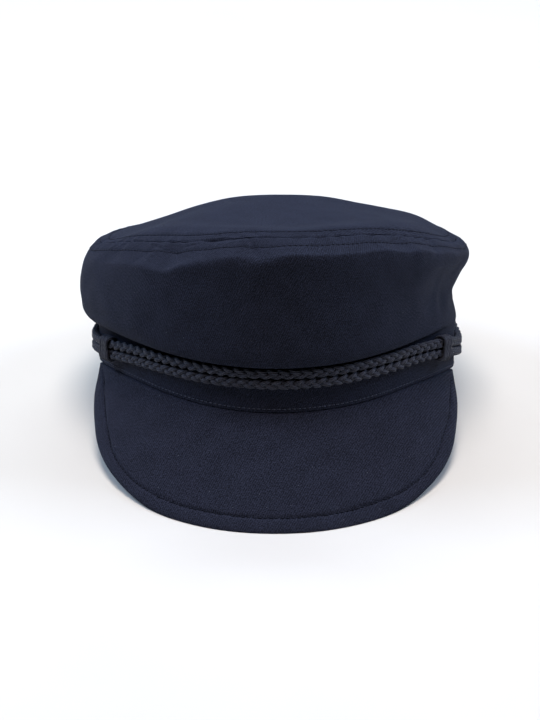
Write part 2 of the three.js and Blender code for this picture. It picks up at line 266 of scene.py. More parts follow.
ROOT_LIFT = np.array([  # turn, left, right
    (0.000, 0.90, 0.90),
    (0.120, 1.10, 1.10),
    (0.280, 2.00, 1.70),
    (0.360, 2.00, 1.70),
    (0.440, 1.60, 1.20),
    (0.500, 0.40, 0.30),
    (0.560, 0.00, 0.00),
    (1.000, 0.00, 0.00),
])
SHOULDER = np.array([  # turn, reach of the flat strip below the top seam in mm
    (-1.00, 9.0),
    (-0.50, 9.0),
    (-0.30, 12.0),
    (-0.22, 13.5),
    (-0.174, 15.5),
    (-0.135, 12.5),
    (-0.09, 10.6),
    (-0.05, 10.4),
    (-0.017, 12.0),
    (0.02, 10.2),
    (0.10, 9.6),
    (0.20, 9.2),
    (0.30, 8.6),
    (0.50, 8.0),
    (1.00, 9.0),
])
CORD_LIFT = np.array([  # turn, left, right
    (0.000, 1.30, 1.30),
    (0.200, 1.40, 1.40),
    (0.310, 1.30, 1.10),
    (0.345, 1.10, 0.50),
    (0.420, 0.20, -1.20),
    (0.500, -0.60, -2.00),
    (0.600, 0.00, -0.40),
])
CREASES = (  # turn, up, half length, half width (mm), slope (degrees from level), depth (mm)
    (-0.212, 0.93, 6.0, 0.8, 165, 0.55),
    (-0.180, 0.90, 4.0, 0.9, 160, 0.40),
    (-0.145, 0.95, 4.5, 0.7, 8, 0.35),
    (0.215, 0.93, 5.0, 0.8, 20, 0.40),
    (-0.035, 0.90, 7.0, 1.6, 118, 0.9),
    (-0.085, 0.985, 9.0, 1.0, 2, 0.5),
    (-0.160, 0.86, 12.0, 3.0, 150, 0.5),
    (-0.230, 0.88, 9.0, 2.4, 60, 0.6),
    (0.070, 0.93, 8.0, 2.0, 70, 0.35),
    (0.160, 0.92, 8.0, 2.2, 110, 0.4),
    (0.245, 0.80, 16.0, 3.5, 96, -0.6),
    (0.300, 0.86, 9.0, 2.2, 55, 0.6),
    (0.335, 0.30, 14.0, 4.0, 94, -0.5),
    (-0.330, 0.16, 16.0, 2.6, 8, 0.5),
    (-0.450, 0.22, 12.0, 3.0, 168, 0.5),
    (0.400, 0.70, 14.0, 3.4, 40, 0.6),
    (0.480, 0.30, 16.0, 3.0, 160, 0.6),
    (-0.520, 0.72, 13.0, 3.2, 140, 0.5),
    (-0.700, 0.30, 16.0, 3.4, 20, 0.6),
    (0.720, 0.35, 15.0, 3.4, 158, 0.6),
    (0.860, 0.66, 12.0, 3.0, 60, 0.5),
    (-0.940, 0.70, 12.0, 3.0, 120, 0.5),
)


# ---------------------------------------------------------------- the cap's surfaces
def column(rows, k, at):
    """A smooth curve through column k of a table."""
    x = rows[:, 0]
    y = rows[:, k]
    slopes = np.diff(y) / np.diff(x)
    tangents = np.empty(len(x))
    tangents[0] = slopes[0]
    tangents[-1] = slopes[-1]
    tangents[1:-1] = (slopes[:-1] + slopes[1:]) / 2
    if rows is TOP:
        tangents[0] = 0
    elif rows is not SIDE:
        tangents[x % 1 == 0] = 0
    t = np.clip(at, x[0], x[-1])
    i = np.clip(np.searchsorted(x, t, side="right") - 1, 0, len(x) - 2)
    h = x[i + 1] - x[i]
    s = (t - x[i]) / h
    return (
        (1 + 2 * s) * (1 - s) ** 2 * y[i]
        + s * (1 - s) ** 2 * h * tangents[i]
        + s * s * (3 - 2 * s) * y[i + 1]
        + s * s * (s - 1) * h * tangents[i + 1]
    )


def half_turns(turn):
    """How far round from the front a turn in radians is, from 0 to 1."""
    return np.abs(np.arctan2(np.sin(turn), np.cos(turn))) / np.pi


def sides(turn):
    """The weights of the front, left, back and right at a turn."""
    c = np.cos(turn)
    s = np.sin(turn)
    return (
        np.maximum(c, 0) ** 2,
        np.maximum(-s, 0) ** 2,
        np.maximum(-c, 0) ** 2,
        np.maximum(s, 0) ** 2,
    )


def by_side(rows, at, turn):
    """A table's front, left, back and right columns, blended at a turn."""
    return sum(weight * column(rows, k + 1, at) for k, weight in enumerate(sides(turn)))


def smooth_step(value, low, high):
    t = np.clip((value - low) / (high - low), 0, 1)
    return t * t * (3 - 2 * t)


def left_right(rows, turn):
    """A table's left and right columns, blended across the front and the back."""
    right = smooth_step(np.sin(turn), -0.5, 0.5)
    at = half_turns(turn)
    return right * column(rows, 2, at) + (1 - right) * column(rows, 1, at)


def oval(turn, out, height):
    """A point some way out from the band's oval, at a height."""
    c = np.cos(turn)
    s = np.sin(turn)
    narrowing = np.where(c > 0, 1 - FRONT_POINT * s * s, 1)
    x = (BAND_WIDTH / 2 + out) * s
    y = -(BAND_LENGTH / 2 + out) * c * narrowing
    return np.stack(np.broadcast_arrays(x, y, height), -1)


def unit(vectors):
    length = np.linalg.norm(vectors, axis=-1, keepdims=True)
    return vectors / np.maximum(length, 1e-9)


def out_of_oval(turn):
    """The direction straight out of the band's oval."""
    along = oval(turn + 0.02, 0, 0) - oval(turn - 0.02, 0, 0)
    return unit(np.cross(along, (0, 0, 1.0)))


def band_foot(turn):
    return BAND_RISE * left_right(RISE, turn)


def band_top(turn):
    return band_foot(turn) + BAND_HEIGHT


def seam_height(turn):
    return CROWN_HEIGHT * left_right(SEAM, turn)


def fold_height(turn):
    droop = sum(share * weight for share, weight in zip(DROOP_SHARES, sides(turn)))
    return band_top(turn) - CROWN_DROOP * droop


def side_out(turn, at):
    """How far the side panel stands out from the band, dents included."""
    plain = by_side(SIDE, at, turn)
    dents = 0
    for place, up, wide, tall, depth in DENTS:
        across = turn / np.pi - place
        across = across - 2 * np.round(across / 2)
        dents = dents + depth * np.exp(-((across / wide) ** 2 + ((at - up) / tall) ** 2))
    return CROWN_BULGE * (plain - dents * np.minimum(1, at / DENT_FADE))


def side_point(turn, at):
    low = fold_height(turn)
    return oval(turn, side_out(turn, at), low + at * (seam_height(turn) - low))


def top_point(turn, share):
    seam = side_point(turn, 1.0)
    drop = by_side(TOP, share, turn)
    x = seam[..., 0] * share
    y = seam[..., 1] * share
    return np.stack([x, y, CROWN_CENTRE + (seam[..., 2] - CROWN_CENTRE) * drop], -1)


def down_peak(turn):
    """The direction in which the peak runs down from its root."""
    to_side = np.sin(turn) ** 2
    pitch = np.radians(PEAK_PITCH + (PEAK_SIDE_PITCH - PEAK_PITCH) * to_side)
    return np.stack([PEAK_FLARE * np.sin(turn), -np.cos(pitch), -np.sin(pitch)], -1)


def peak_point(turn, length):
    root = oval(turn, CLEARANCE, band_foot(turn) - CLEARANCE)
    return root + down_peak(turn) * length[..., None]


def peak_length(turn):
    return PEAK_LENGTH * column(PEAK, 1, half_turns(turn))


PEAK_TURNS = np.linspace(-PEAK_REACH, PEAK_REACH, 45) * np.pi
PEAK_EDGE = peak_point(PEAK_TURNS, peak_length(PEAK_TURNS))
PEAK_LIP = PEAK_WALL * 0.4 * math.cos(math.radians(PEAK_PITCH))
TILT = np.arctan2(PEAK_LIP - PEAK_EDGE[:, 2], BAND_LENGTH / 2 - PEAK_EDGE[:, 1]).max()
BAND_CORNER = np.array(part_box("band")[0]) / MM
SHIFT_X = BAND_CORNER[0] + BAND_WIDTH / 2
SHIFT_Y = BAND_CORNER[1] - (
    -BAND_LENGTH / 2 * math.cos(TILT) + float(band_foot(0.0)) * math.sin(TILT)
)


def turned(vectors):
    """Directions of the upright cap, as the resting cap has them."""
    y = vectors[..., 1] * math.cos(TILT) + vectors[..., 2] * math.sin(TILT)
    z = -vectors[..., 1] * math.sin(TILT) + vectors[..., 2] * math.cos(TILT)
    return np.stack([vectors[..., 0], y, z], -1)


def resting(points):
    """Points of the upright cap in mm, where they are on the resting cap, in metres."""
    lift = BAND_LENGTH / 2 * math.sin(TILT) - PRESSED
    moved = turned(points) + np.array([SHIFT_X, SHIFT_Y, lift])
    moved[..., 2] = np.maximum(moved[..., 2], 0)
    return moved * MM


def grid_normals(grid, closed):
    """Outward directions of a grid of rows of columns. A closed grid repeats its first column."""
    if closed:
        ring = grid[:, :-1]
        across = np.roll(ring, -1, axis=1) - np.roll(ring, 1, axis=1)
        across = np.concatenate([across, across[:, :1]], axis=1)
    else:
        across = np.gradient(grid, axis=1)
    return unit(np.cross(across, np.gradient(grid, axis=0)))


def lengths_down(grid):
    """Distance of each row of a grid from its first row, along the grid."""
    steps = np.linalg.norm(np.diff(grid, axis=0), axis=-1)
    start = np.zeros((1, grid.shape[1]))
    return np.concatenate([start, np.cumsum(steps, axis=0)])


# ---------------------------------------------------------------- meshes
def build_mesh(name, patches, node=None, weld=2e-6, crease=60):
    """One mesh from grids of points in mm and their cloth coordinates in mm."""
    points = []
    faces = []
    weave = []
    start = 0
    for grid, cloth in patches:
        rows, columns = grid.shape[:2]
        index = np.arange(rows * columns).reshape(rows, columns)
        corners = np.stack([index[:-1, :-1], index[:-1, 1:], index[1:, 1:], index[1:, :-1]], -1)
        corners = corners.reshape(-1, 4)
        points.append(resting(grid.reshape(-1, 3)))
        faces.append(corners + start)
        weave.append(cloth.reshape(-1, 2)[corners].reshape(-1, 2))
        start += rows * columns
    mesh = bpy.data.meshes.new(name)
    mesh.from_pydata(np.concatenate(points).tolist(), [], np.concatenate(faces).tolist())
    layer = mesh.uv_layers.new(name="weave")
    layer.data.foreach_set("uv", np.concatenate(weave).astype(np.float32).ravel())
    work = bmesh.new()
    work.from_mesh(mesh)
    bmesh.ops.remove_doubles(work, verts=work.verts, dist=weld)
    bmesh.ops.dissolve_degenerate(work, edges=work.edges, dist=1e-7)
    bmesh.ops.recalc_face_normals(work, faces=work.faces)
    work.to_mesh(mesh)
    work.free()
    mesh.shade_smooth()
    mesh.set_sharp_from_angle(angle=math.radians(crease))
    piece = bpy.data.objects.new(name, mesh)
    bpy.context.scene.collection.objects.link(piece)
    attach(piece, "root")
    if node:
        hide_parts(node)
    return piece


def edge_strip(first, second, cloth_first, cloth_second):
    """The strip that joins two rows of points."""
    return np.stack([first, second]), np.stack([cloth_first, cloth_second])


def tubes(paths, outs, widths, depths, sides_round=6):
    """Tubes along paths of equal point counts: paths and outs are (tube, station, xyz), widths
    and depths are (tube, station), the half sizes across and outward."""
    ahead = unit(np.gradient(paths, axis=1))
    outs = unit(outs - ahead * np.sum(ahead * outs, axis=-1, keepdims=True))
    across = np.cross(outs, ahead)
    angles = np.linspace(0, 2 * np.pi, sides_round + 1)
    run = np.cumsum(np.linalg.norm(np.diff(paths, axis=1), axis=-1), axis=1)
    run = np.concatenate([np.zeros((len(paths), 1)), run], axis=1)
    patches = []
    for path, out, side, wide, deep, along in zip(paths, outs, across, widths, depths, run):
        ring = (
            path[:, None]
            + side[:, None] * (wide[:, None] * np.cos(angles))[..., None]
            + out[:, None] * (deep[:, None] * np.sin(angles))[..., None]
        )
        girth = np.broadcast_to(angles / (2 * np.pi), ring.shape[:2])
        cloth = np.stack([np.broadcast_to(along[:, None], ring.shape[:2]), girth], -1)
        patches.append((ring, cloth))
    return patches


def evenly(path, step, extra=()):
    """A path resampled to even steps, with other values along it."""
    run = np.concatenate([[0], np.cumsum(np.linalg.norm(np.diff(path, axis=0), axis=1))])
    at = np.linspace(0, run[-1], max(2, int(round(run[-1] / step)) + 1))
    result = np.stack([np.interp(at, run, path[:, k]) for k in range(3)], -1)
    others = []
    for values in extra:
        columns = [np.interp(at, run, values[:, k]) for k in range(values.shape[1])]
        others.append(np.stack(columns, -1))
    return (result, *others)


def stitches(name, path, outs, pitch, long=2.0, thick=0.26, sink=0.22):
    """A row of machine stitches along a path on the cloth."""
    path, outs = evenly(path, step=STITCH_STEP, extra=(outs,))
    run = STITCH_STEP * np.arange(len(path))
    count = int(run[-1] / pitch)
    t = np.linspace(-0.5, 0.5, 7)
    centres = (np.arange(count) + 0.5) * pitch
    at = centres[:, None] + t[None] * long
    line = np.stack([np.interp(at, run, path[:, k]) for k in range(3)], -1)
    out = unit(np.stack([np.interp(at, run, outs[:, k]) for k in range(3)], -1))
    height = thick * 0.55 - sink * (2 * t) ** 4
    line = line + out * height[None, :, None]
    size = np.broadcast_to(thick * (1 - 0.45 * (2 * t) ** 4), at.shape)
    patches = tubes(line, out, size, size)
    return build_mesh(name, patches, weld=1e-7, crease=180)


# ---------------------------------------------------------------- crown
def around_noise(turn, waves, seed):
    """A smooth wobble round the cap, between about -1 and 1."""
    draw = np.random.default_rng(seed)
    total = 0
    for wave in waves:
        total = total + np.sin(wave * turn + draw.uniform(0, 2 * np.pi)) * draw.uniform(0.6, 1.0)
    return total / math.sqrt(len(waves))


def cloth_noise(turn, up, seed, waves=14, low=3, high=12):
    """Soft unevenness over a panel: turn in radians, up in shares."""
    draw = np.random.default_rng(seed)
    total = 0
    for _ in range(waves):
        k = draw.integers(low, high)
        m = draw.uniform(-2.2, 2.2) * np.pi
        total = total + np.sin(k * turn + m * up + draw.uniform(0, 2 * np.pi))
    return total / math.sqrt(waves)


def crease_relief(turn, up):
    """Height of the cloth over the side panel, with its creases and ridges."""
    total = 0
    for place, height, long, wide, slope, depth in CREASES:
        across = turn / np.pi - place
        across = (across - 2 * np.round(across / 2)) * HALF_GIRTH
        rise = (up - height) * PANEL_HEIGHT
        c = math.cos(math.radians(slope))
        s = math.sin(math.radians(slope))
        along = across * c + rise * s
        beside = -across * s + rise * c
        total = total - depth * np.exp(-((along / long) ** 2) - (beside / wide) ** 2)
    return total


def seam_relief(turn, far, stitch_at, deep):
    """Height of the cloth near the top seam, at a distance from it in mm."""
    away = 1 - 0.75 * smooth_step(np.abs(turn) / np.pi, 0.24, 0.36)
    uneven = np.clip(0.62 + 0.8 * around_noise(turn, (23, 31, 44, 59, 72), 61), 0.08, 1.6) * away
    gape = np.exp(-(((turn / np.pi - SEAM_GAPE_AT) / SEAM_GAPE_WIDTH) ** 2))
    roll = -(SEAM_ROLL_DEPTH * uneven + gape) * np.exp(-((far / SEAM_ROLL_WIDTH) ** 2))
    raised = 0.22 * smooth_step(far, 0.3, 1.2) * (1 - smooth_step(far, stitch_at - 1.6, stitch_at))
    beat = 0.6 + 0.4 * np.cos(turn * CAP_RADIUS * 2 * np.pi / STITCH_PITCH)
    beat = beat * np.clip(0.62 + 0.8 * around_noise(turn, (19, 29, 37, 53), 63), 0.05, 1.5) * away
    channel = -deep * beat * np.exp(-(((far - stitch_at) / CHANNEL_WIDTH) ** 2))
    pucker = around_noise(turn, (41, 57, 68, 83, 97), 3)
    fine = around_noise(turn + 0.012 * far, (113, 131, 154, 171), 5)
    swell = 0.75 + 0.6 * around_noise(turn, (4, 7, 11), 9)
    fade = np.exp(-((far / 7.0) ** 2))
    return roll + raised + channel + (0.27 * pucker + 0.10 * fine) * swell * fade


def flatten_shoulder(side, side_far, top, top_far):
    """Draws the front of the side panel straight from the top seam to a wavy line below it,
    and lets the top panel swell behind the seam."""
    front = 1 - smooth_step(np.abs(AROUND) / np.pi, 0.26, 0.44)
    reach = column(SHOULDER, 1, AROUND / np.pi) + 0.7 * around_noise(AROUND, (9, 14, 19, 26), 17)
    corner = row_at(side, side_far, reach)
    shift = -out_of_oval(AROUND) * SEAM_DRAWN_IN + np.array([0, 0, SEAM_LIFT])
    shift = shift * front[:, None]
    along = np.clip(side_far / reach[None], 0, 1)
    straight = side[-1][None] + (corner - side[-1])[None] * along[..., None]
    amount = 1 - smooth_step(along, 0.86, 1.0)
    pulled = shift[None] * ((1 - along) * amount)[..., None]
    side = side + (straight - side) * (front[None] * amount)[..., None] + pulled
    fade = np.exp(-((top_far / 16) ** 2))
    puff = TOP_PUFF * front[None] * smooth_step(top_far, 0, 7.5) * (1 - smooth_step(top_far, 9, 34))
    top = top + shift[None] * fade[..., None]
    top[..., 2] += puff
    smoothed = 30
    for _ in range(3):
        above = side[-smoothed + 1:]
        below = side[-smoothed - 1:-2]
        side[-smoothed:-1] = (below + 2 * side[-smoothed:-1] + above) / 4
    return side, top


def crown_grids():
    """Rows of the whole crown from the lap over the band to the middle of the top, and the
    row at which the two panels part."""
    turn = AROUND[None]
    fine = np.linspace(0.03, 1, 260)[:, None]
    run = lengths_down(side_point(turn, fine)[::-1])[::-1]
    total = run[0]
    far_rows = np.linspace(0, 1, 46)[1:]
    near = NEAR_SEAM[-1]
    side_far = [np.full(COLUMNS + 1, d) for d in NEAR_SEAM]
    side_far += [near + (total - near) * k for k in far_rows]
    at = np.empty((len(side_far), COLUMNS + 1))
    for j in range(COLUMNS + 1):
        wanted = np.array([row[j] for row in side_far])
        at[:, j] = np.interp(-wanted, -run[:, j], fine[:, 0])
    at = at[::-1]
    side = side_point(turn, at)
    lap_out = -0.8 * BAND_WALL
    edge = side_out(turn, 0 * turn)
    laps = [
        oval(turn, lap_out + share * (edge - lap_out), band_top(turn) + CLEARANCE)[0]
        for share in (0, 0.17, 0.34, 0.5)
    ]
    first = side_point(turn, 0.03 + 0 * turn)[0]
    fold = side_point(turn, 0 * turn)[0]
    control = 2 * fold - 0.5 * (laps[-1] + first)
    bend = []
    for t in np.linspace(0, 1, 10)[1:-1]:
        bend.append((1 - t) ** 2 * laps[-1] + 2 * t * (1 - t) * control + t * t * first)
    side = np.concatenate([np.stack(laps), np.stack(bend), side])
    cut = len(side)
    shares = np.linspace(1, 0, 400)[:, None]
    top_run = lengths_down(top_point(turn, shares))
    top_total = top_run[-1]
    top_far = [np.full(COLUMNS + 1, d + 0.06) for d in NEAR_SEAM]
    top_far += [near + (top_total - near) * k for k in np.linspace(0, 1, 40)[1:]]
    share = np.empty((len(top_far), COLUMNS + 1))
    for j in range(COLUMNS + 1):
        wanted = np.array([row[j] for row in top_far])
        share[:, j] = np.interp(wanted, top_run[:, j], shares[:, 0])
    share[-1] = 0
    top = top_point(turn, share)
    return np.concatenate([side, top]), cut


def soften(grid, cut, rows=5, times=5):
    """Rounds the corner of the crown at its seam."""
    for _ in range(times):
        part = grid[cut - rows:cut + rows]
        grid[cut - rows + 1:cut + rows - 1] = (part[:-2] + 2 * part[1:-1] + part[2:]) / 4
    return grid


def oval_run(out):
    """Distance round the cap from the front, some way out from the band."""
    ring = oval(AROUND, out, 0.0)
    steps = np.linalg.norm(np.diff(ring, axis=0), axis=1)
    run = np.concatenate([[0], np.cumsum(steps)])
    return run - run[COLUMNS // 2]


def side_relief(far):
    """Height of the side panel's cloth over its plain surface, in mm."""
    turn = AROUND[None]
    up = np.clip(1 - far / far[LAP_ROWS], -0.2, 1)
    body = smooth_step(up, 0.02, 0.2)
    relief = seam_relief(turn, far, SIDE_STITCH_FROM_SEAM, SIDE_CHANNEL_DEPTH)
    relief = relief + body * crease_relief(turn, up)
    relief = relief + 0.30 * body * cloth_noise(turn, up, 21) * smooth_step(far, 2, 9)
    return relief + 0.14 * body * cloth_noise(turn, 3 * up, 22, low=14, high=34)


def top_relief(far, top):
    """Height of the top panel's cloth over its plain surface, in mm."""
    turn = AROUND[None]
    relief = seam_relief(turn, far, TOP_STITCH_FROM_SEAM, TOP_CHANNEL_DEPTH)
    from_nip = far - NIP_FROM_SEAM
    nip = (turn / np.pi - NIP_AT + 0.002 * from_nip) * HALF_GIRTH
    relief = relief - NIP_DEPTH * np.exp(-((nip / 0.8) ** 2) - (from_nip / 2.2) ** 2)
    return relief + smooth_step(far, 2, 14) * top_waves(top[..., 0], top[..., 1])


def crown():
    whole, cut = crown_grids()
    side_far = lengths_down(whole[:cut][::-1])[::-1]
    flat, puffed = flatten_shoulder(whole[:cut], side_far, whole[cut:], lengths_down(whole[cut:]))
    whole = soften(np.concatenate([flat, puffed]), cut)
    normals = grid_normals(whole, True)
    normals[-1] = (0, 0, 1)
    side = whole[:cut]
    top = whole[cut:]
    side_far = lengths_down(side[::-1])[::-1]
    top_far = lengths_down(top)
    side_outer = side + normals[:cut] * side_relief(side_far)[..., None]
    top_outer = top + normals[cut:] * top_relief(top_far, top)[..., None]
    around = np.broadcast_to(oval_run(8)[None], side_far.shape)
    side_cloth = np.stack([around, -side_far], -1)
    top_cloth = top[..., :2].copy()
    inner = whole - normals * CROWN_WALL
    picks = list(range(0, LAP_ROWS, 2)) + list(range(LAP_ROWS, cut - 1, 4)) + [cut - 1]
    side_in = inner[:cut][picks]
    side_in_cloth = side_cloth[picks]
    top_picks = list(range(0, len(top), 3))
    if top_picks[-1] != len(top) - 1:
        top_picks.append(len(top) - 1)
    top_in = inner[cut:][top_picks]
    top_in_cloth = top_cloth[top_picks]
    side_patches = [
        (side_outer, side_cloth),
        (side_in, side_in_cloth),
        edge_strip(side_outer[0], side_in[0], side_cloth[0], side_in_cloth[0]),
        edge_strip(side_outer[-1], side_in[-1], side_cloth[-1], side_in_cloth[-1]),
    ]
    top_patches = [
        (top_outer, top_cloth),
        (top_in, top_in_cloth),
        edge_strip(top_outer[0], top_in[0], top_cloth[0], top_in_cloth[0]),
    ]
    pieces = [
        build_mesh("crown_side_cloth", side_patches, "crown_side"),
        build_mesh("crown_top_cloth", top_patches, "crown_top"),
    ]
    rows = (
        ("crown_side_stitches", side_outer, normals[:cut], side_far, SIDE_STITCH_FROM_SEAM),
        ("crown_top_stitches", top_outer, normals[cut:], top_far, TOP_STITCH_FROM_SEAM),
    )
    for name, outer, outs, far, distance in rows:
        row = row_at(outer, far, distance)
        row_out = row_at(outs, far, distance)
        pieces.append(stitches(name, row, row_out, STITCH_PITCH))
    return pieces


def row_at(grid, far, distance):
    """The points of a grid at a distance from the seam, one in each column."""
    distances = np.broadcast_to(distance, grid.shape[1])
    result = np.empty((grid.shape[1], 3))
    for j in range(grid.shape[1]):
        order = np.argsort(far[:, j])
        for k in range(3):
            result[j, k] = np.interp(distances[j], far[order, j], grid[order, j, k])
    return result


def top_waves(x, y):
    """Soft unevenness of the top panel."""
    draw = np.random.default_rng(31)
    waves = 16
    total = 0
    for _ in range(waves):
        angle = draw.uniform(0, np.pi)
        length = draw.uniform(38, 90)
        phase = draw.uniform(0, 2 * np.pi)
        along = x * math.cos(angle) + y * math.sin(angle)
        total = total + np.sin(along * 2 * np.pi / length + phase)
    return TOP_WAVE_HEIGHT * total / math.sqrt(waves)


# ---------------------------------------------------------------- band
def band():
    turn = AROUND[None]
    edge = BAND_EDGE_RADIUS
    heights = np.concatenate([
        np.linspace(0, 4, 12)[1:],
        np.linspace(4, BAND_HEIGHT, 14)[1:],
    ])
    lift = left_right(ROOT_LIFT, turn)
    foot = band_foot(turn) + lift
    share = 1 - lift / BAND_HEIGHT
    outer = []
    for height in heights:
        dip = -0.22 * math.exp(-(((height - BAND_STITCH_HEIGHT) / CHANNEL_WIDTH) ** 2))
        swell = 0.10 * around_noise(turn, (37, 52, 71), 41) * math.exp(-height / 4)
        outer.append(oval(turn, dip + swell, foot + height * share)[0])

    def rolled(angles):
        rows = []
        for angle in np.radians(angles):
            out = -edge + edge * math.cos(angle)
            rows.append(oval(turn, out, foot + edge + edge * math.sin(angle))[0])
        return rows

    outer = [row for row, height in zip(outer, heights) if height > edge * 1.05]
    outer = np.stack(rolled(np.linspace(-90, 0, 7)[:-1]) + outer)
    inner_heights = (4, 9, 15, 20, BAND_HEIGHT)
    inner = [oval(turn, -BAND_WALL, foot + height * share)[0] for height in inner_heights]
    inner = np.stack(rolled(np.linspace(-90, -180, 5)) + inner)
    run = oval_run(0)[None]

    def cloth(grid):
        far = lengths_down(grid)
        return np.stack([np.broadcast_to(run, far.shape), far], -1)

    outer_cloth = cloth(outer)
    inner_cloth = cloth(inner)
    patches = [
        (outer, outer_cloth),
        (inner, inner_cloth),
        edge_strip(outer[-1], inner[-1], outer_cloth[-1], inner_cloth[-1]),
    ]
    pieces = [build_mesh("band_cloth", patches, "band")]
    row = oval(AROUND, -BAND_STITCH_DEPTH, foot[0] + BAND_STITCH_HEIGHT)
    row_out = out_of_oval(AROUND)
    pieces.append(
        stitches("band_stitches", row, row_out, BAND_STITCH_PITCH, BAND_STITCH_LENGTH)
    )
    return pieces


# ---------------------------------------------------------------- peak
def peak():
    nose = 0.5 * PEAK_WALL
    turns = np.linspace(-PEAK_REACH, PEAK_REACH, PEAK_COLUMNS) * np.pi
    length = peak_length(turns)
    inner_part = np.linspace(0, PEAK_PLAIN_REACH, 44)
    bend = np.sin(np.linspace(0, np.pi / 2, 30))[1:]
    outer_part = PEAK_PLAIN_REACH + (1 - PEAK_PLAIN_REACH) * bend
    reach = np.concatenate([inner_part, outer_part])
    turn = turns[None]
    along = (length - 0.35)[None] * reach[:, None]
    top = peak_point(turn + 0 * along, along)
    flange = []
    for inward in (2.4, 1.6, 0.8, 0.2):
        flange.append(oval(turns, CLEARANCE - inward, band_foot(turns) - 0.26))
    top = np.concatenate([np.stack(flange), top])
    along = np.concatenate([np.zeros((len(flange), PEAK_COLUMNS)), along])
    for _ in range(3):
        top[2:7] = (top[1:6] + 2 * top[2:7] + top[3:8]) / 4
    top[..., 2] += left_right(ROOT_LIFT, turn) * np.exp(-((along / 2.6) ** 2))
    normal = grid_normals(top[::-1], False)[::-1]
    row_turns = np.linspace(-PEAK_STITCH_REACH, PEAK_STITCH_REACH, 600) * np.pi
    row_length = PEAK_LENGTH * left_right(PEAK_STITCHES, row_turns)
    row = peak_point(row_turns, row_length)
    to_edge = distance_to(top, top[-1])
    to_row = distance_to(top, row)
    side_ends = np.minimum(
        np.abs(turn + PEAK_REACH * np.pi),
        np.abs(turn - PEAK_REACH * np.pi),
    ) * BAND_WIDTH / 2
    rim = np.minimum(to_edge, side_ends)
    half = nose * np.sqrt(np.clip(1 - (1 - np.clip(rim / nose, 0, 1)) ** 2, 0, 1))
    middle = top - normal * nose
    pad = 0.28 * smooth_step(to_row, 0.2, 2.2) * smooth_step(rim, 0.5, 3)
    groove = -PEAK_GROOVE_DEPTH * np.exp(-((to_row / PEAK_GROOVE_WIDTH) ** 2))
    inside = np.where(rim > to_row + 3, 1, 0)
    unevenness = 0.10 * np.sin(top[..., 0] / 11 + 0.7) * np.sin(along / 9 + top[..., 0] / 23)
    pucker = 0.16 * around_noise(turn, (47, 61, 79, 101), 51) * np.exp(-((to_row / 2.6) ** 2))
    relief = pad * (1 - 0.35 * inside) + groove + unevenness + pucker
    relief = relief * smooth_step(rim, 0, 2)
    upper = middle + normal * (half + relief)[..., None]
    lower = middle - normal * half[..., None]
    cloth = np.stack([top[..., 0], -np.sum(top * down_peak(np.zeros(1))[0], axis=-1)], -1)
    last = len(top) - 1
    plain = len(flange) + len(inner_part)
    picks = list(range(0, plain, 4)) + list(range(plain, last, 2)) + [last]
    patches = [
        (upper, cloth),
        (lower[picks], cloth[picks]),
        edge_strip(upper[0], lower[0], cloth[0], cloth[0]),
    ]
    pieces = [build_mesh("peak_cloth", patches, "peak")]
    row_out = sample_nearest(top, normal, row)
    sunk = row - row_out * PEAK_STITCH_DEPTH
    pieces.append(stitches("peak_stitches", sunk, row_out, STITCH_PITCH, thick=0.32))
    return pieces


def distance_to(grid, line):
    """Distance of every point of a grid to a line of points."""
    result = np.full(grid.shape[:2], 1e9)
    for point in evenly(line, step=0.25)[0]:
        result = np.minimum(result, np.sum((grid - point) ** 2, axis=-1))
    return np.sqrt(result)


def sample_nearest(grid, values, points):
    """The values at the grid's points that are nearest to some points."""
    flat = grid.reshape(-1, 3)
    flat_values = values.reshape(-1, values.shape[-1])
    result = [flat_values[np.argmin(np.sum((flat - point) ** 2, axis=1))] for point in points]
    return np.array(result)


# ---------------------------------------------------------------- chin cord
def cord_out(turn):
    """How far out the cord's middle line lies; it stands off where the loop goes round it."""
    from_loop = (np.abs(turn) - KNOT_PLACE * np.pi) / 0.15
    return PLAIT_OUT + LOOP_OUT * np.exp(-from_loop ** 2)


def cord_middle(turn):
    """The height midway between the cord's two runs."""
    return band_foot(turn) + BAND_HEIGHT * left_right(CORD, turn) + left_right(CORD_LIFT, turn)


def run_spread(turn):
    """The distance between the two runs, which part on the way to the buttons."""
    beyond = np.clip((np.abs(turn) - LOOP_TURN) / (BUTTON_TURN - LOOP_TURN), 0, 1)
    return CORD_PITCH + (2 * TURN_RADIUS - CORD_PITCH) * beyond ** 4


def cord_run(level, share):
    """One run, from the left button to the right: level is 1 above and -1 below."""
    turn = BUTTON_TURN * (2 * share - 1)
    return oval(turn, cord_out(turn), cord_middle(turn) + level * run_spread(turn) / 2), turn


def cord_turn(hand, share):
    """The turn behind a button: hand is -1 left and 1 right."""
    angle = share * np.pi
    level = -hand * np.sin(angle)
    per_radian = (BAND_WIDTH + BAND_LENGTH) / 4 + cord_out(BUTTON_TURN)
    turn = hand * (BUTTON_TURN + TURN_RADIUS * np.cos(angle) / per_radian)
    height = cord_middle(np.array(hand * BUTTON_TURN)) + TURN_RADIUS * level
    return oval(turn, cord_out(turn), height), turn


def cord_route():
    """The whole loop, with its two ends behind the left button."""
    gap = 0.5 * CLEARANCE / (np.pi * TURN_RADIUS)
    parts = [
        cord_turn(-1, np.linspace(gap, 0.5, 60)),
        cord_run(1, np.linspace(0, 1, 3000)[1:]),
        cord_turn(1, np.linspace(-0.5, 0.5, 120)[1:]),
        cord_run(-1, np.linspace(1, 0, 3000)[1:]),
        cord_turn(-1, np.linspace(-0.5, -gap, 60)[1:]),
    ]
    path = np.concatenate([part[0] for part in parts])
    turn = np.concatenate([part[1] for part in parts])
    outs = out_of_oval(turn)
    return evenly(path, step=PLAIT_STEP, extra=(outs,))


def smooth_line(line, times):
    for _ in range(times):
        line[1:-1] = (line[:-2] + 2 * line[1:-1] + line[2:]) / 4
    return line


